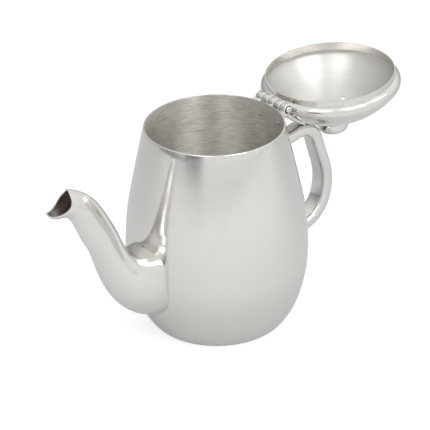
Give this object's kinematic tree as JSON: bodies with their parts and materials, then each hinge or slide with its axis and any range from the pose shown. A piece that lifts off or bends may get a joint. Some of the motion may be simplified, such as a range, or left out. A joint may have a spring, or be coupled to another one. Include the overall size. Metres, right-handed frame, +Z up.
{
  "type": "teapot",
  "caption": "Pear-shaped steel teapot with a gooseneck spout, a hollow loop handle and a domed lid that swings back on a knuckled hinge.",
  "frame": {"origin": "middle of the flat foot that the pot stands on", "axes": "+Z up along the pot's axis, +X towards the handle and hinge, -X towards the spout, Y along the hinge pin"},
  "size_m": [0.2303, 0.1008, 0.1261],
  "materials": {
    "body_steel": "polished outside, spun inside",
    "hinge_steel": "polished",
    "lid_steel": "polished"
  },
  "bodies": {
    "pot": {"body_shell": "body_steel", "base_cup": "body_steel", "spout_left_half": "body_steel", "spout_right_half": "body_steel", "handle_left_half": "body_steel", "handle_right_half": "body_steel", "hinge_body_leaf": "hinge_steel", "hinge_rivets": "hinge_steel", "hinge_pin": "hinge_steel"},
    "lid": {"hinge_lid_leaf": "hinge_steel", "lid_dome": "lid_steel", "lid_skirt": "lid_steel", "lid_knob": "lid_steel", "knob_screw": "hinge_steel"}
  },
  "joints": [
    {"name": "lid_hinge", "type": "hinge", "parent": "pot", "child": "lid", "pos_m": [0.0415, 0, 0.117], "axis": [0, 1, 0], "range_deg": [-175.46, 0]}
  ]
}
